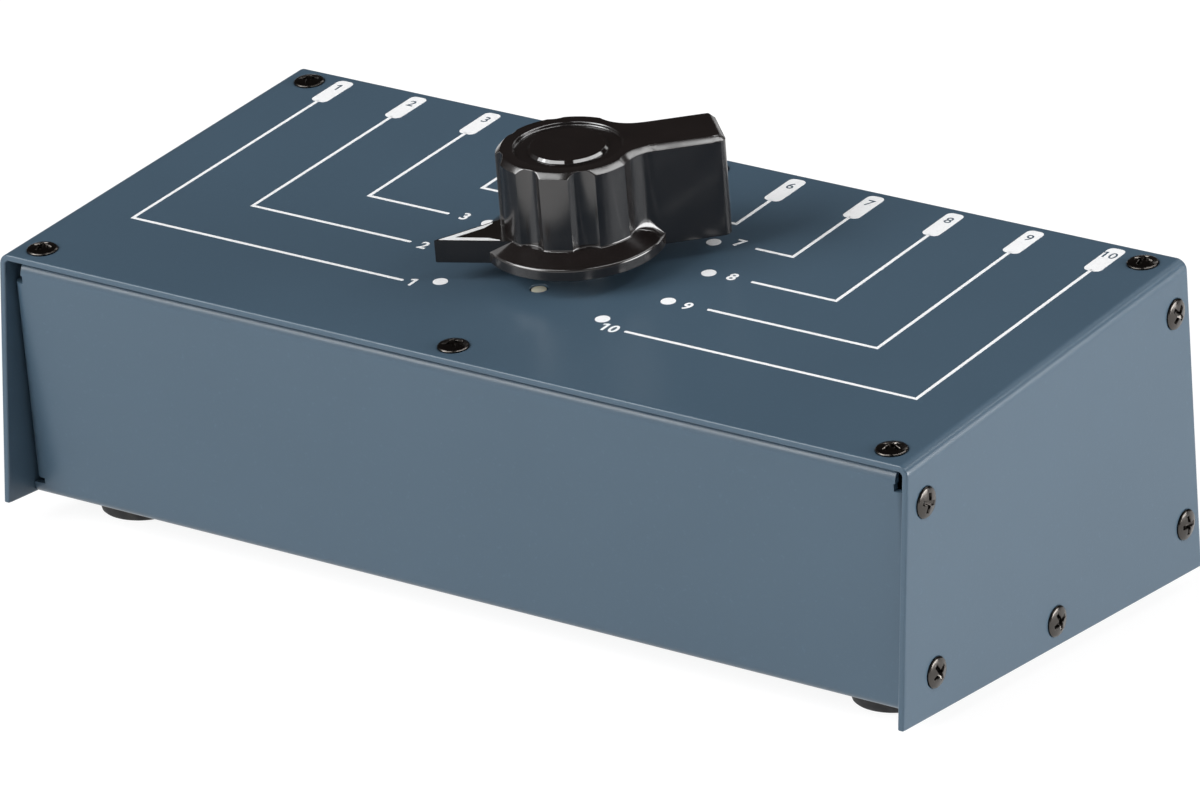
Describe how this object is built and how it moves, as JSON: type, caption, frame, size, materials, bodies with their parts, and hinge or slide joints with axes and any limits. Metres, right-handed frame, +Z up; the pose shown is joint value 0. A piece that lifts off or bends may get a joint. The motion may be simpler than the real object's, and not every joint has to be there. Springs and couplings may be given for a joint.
{
  "type": "audio switch box",
  "caption": "Sloping-top steel desk box with a large winged selector knob on a click-stop rotary switch, rubber feet and a rear panel of audio jacks.",
  "frame": {"origin": "centre of the overall footprint, on the surface that the feet stand on", "axes": "+X to the right seen from the front, +Y from the front to the rear jacks, +Z up"},
  "size_m": [0.2422, 0.1232, 0.1027],
  "materials": {
    "case_paint": "satin",
    "black_nickel": "gloss",
    "foot_rubber": "matte",
    "zinc_steel": "satin",
    "jack_plastic": "matte",
    "nickel": "gloss",
    "tinned": "satin",
    "board_green": "satin",
    "header_plastic": "matte",
    "ribbon_grey": "matte",
    "brass": "satin",
    "cream_plastic": "satin",
    "wafer_brown": "matte",
    "contact_metal": "gloss",
    "knob_black": "gloss",
    "wheel_steel": "satin",
    "rotor_white": "satin"
  },
  "bodies": {
    "case": {"cover": "case_paint", "base_tray": "case_paint", "rear_panel": "case_paint", "cover_top_screws": "black_nickel", "cover_side_screws_left": "black_nickel", "cover_side_screws_right": "black_nickel", "rear_panel_screws": "black_nickel", "foot_front_left": "foot_rubber", "foot_front_right": "foot_rubber", "foot_rear_left": "foot_rubber", "foot_rear_right": "foot_rubber", "foot_screws": "zinc_steel", "foot_washers": "zinc_steel", "foot_nuts": "zinc_steel", "input_jacks_upper": "jack_plastic", "input_jacks_lower": "jack_plastic", "output_jacks": "jack_plastic", "jack_nuts": "nickel", "jack_washers": "nickel", "jack_pins": "tinned", "jack_board": "board_green", "jack_board_headers": "header_plastic", "jack_board_plugs": "header_plastic", "ribbon_cable_left": "ribbon_grey", "ribbon_cable_right": "ribbon_grey", "switch_board": "board_green", "switch_board_headers": "header_plastic", "switch_board_plugs": "header_plastic", "switch_bush": "brass", "switch_nut": "nickel", "switch_lock_washer": "nickel", "index_housing": "cream_plastic", "index_cover": "zinc_steel", "detent_balls": "nickel", "detent_springs": "zinc_steel", "stop_pins": "zinc_steel", "upper_wafer": "wafer_brown", "lower_wafer": "wafer_brown", "upper_contacts": "contact_metal", "lower_contacts": "contact_metal", "deck_wires": "tinned", "spacer_sleeves": "zinc_steel", "tie_rods": "zinc_steel", "tie_nuts": "zinc_steel"},
    "selector": {"knob_body": "knob_black", "knob_cap": "knob_black", "knob_insert": "brass", "knob_grub_screw": "zinc_steel", "switch_shaft": "zinc_steel", "shaft_clip": "zinc_steel", "detent_wheel": "wheel_steel", "upper_rotor": "rotor_white", "lower_rotor": "rotor_white", "upper_rotor_blade": "contact_metal", "lower_rotor_blade": "contact_metal"}
  },
  "joints": [
    {"name": "knob_turn", "type": "hinge", "parent": "case", "child": "selector", "pos_m": [0, -0.00929, 0.07107], "axis": [0, -0.134, 0.991], "range_deg": [-270, 0]}
  ]
}
